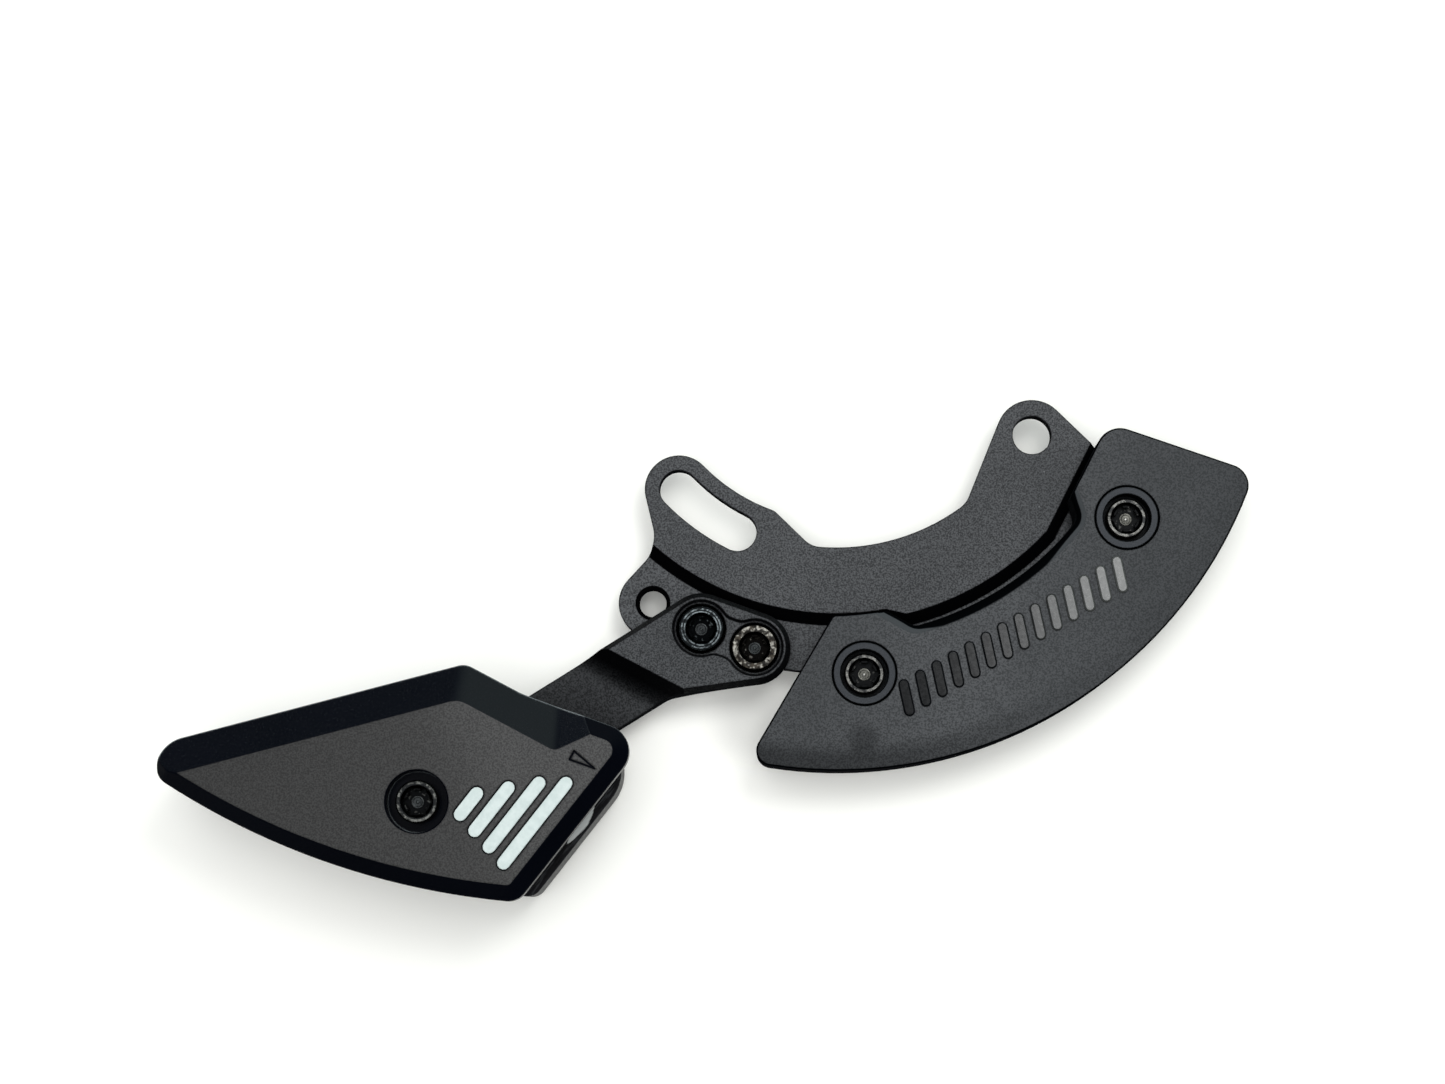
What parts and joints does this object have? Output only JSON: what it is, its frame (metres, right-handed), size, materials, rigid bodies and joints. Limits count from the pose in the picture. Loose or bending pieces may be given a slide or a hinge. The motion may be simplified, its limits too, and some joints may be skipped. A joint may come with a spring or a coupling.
{
  "type": "bicycle chain guide",
  "caption": "Chain guide for a two-point frame mount: joggled backplate, bolted sector bash guard, and a stepped arm carrying a lower chain slider block.",
  "frame": {"origin": "axis of the round frame bolt hole on the plane of the backplate's mounting face; the bottom bracket axis is 32.6 mm behind it and 16.4 mm above it", "axes": "+Z outboard, away from the frame; +X towards the front of the bicycle; +Y up as the picture shows it"},
  "size_m": [0.1769, 0.0833, 0.0275],
  "materials": {
    "anodised_plate": "fine bead-blasted black anodised",
    "anodised_arm": "fine bead-blasted black anodised",
    "guard_nylon": "fine matte moulded black",
    "slider_plastic": "grained top with smooth sloping facets, black",
    "slider_base_plastic": "smooth matte black",
    "bushing_steel": "blackened",
    "bolt_steel": "blackened",
    "guard_bolt_steel": "blackened, worn bright round the socket",
    "worn_bolt_steel": "blackened, worn mottled bright"
  },
  "bodies": {
    "root": {"backplate": "anodised_plate", "slider_arm": "anodised_arm", "arm_bolt_rear": "bolt_steel", "arm_bolt_front": "worn_bolt_steel", "bash_guard": "guard_nylon", "bash_bushing_rear": "bushing_steel", "bash_bushing_front": "bushing_steel", "bash_bolt_rear": "guard_bolt_steel", "bash_bolt_front": "guard_bolt_steel", "slider_cover": "slider_plastic", "slider_base": "slider_base_plastic", "slider_bolt": "bolt_steel", "slider_nut": "bolt_steel"}
  },
  "joints": []
}
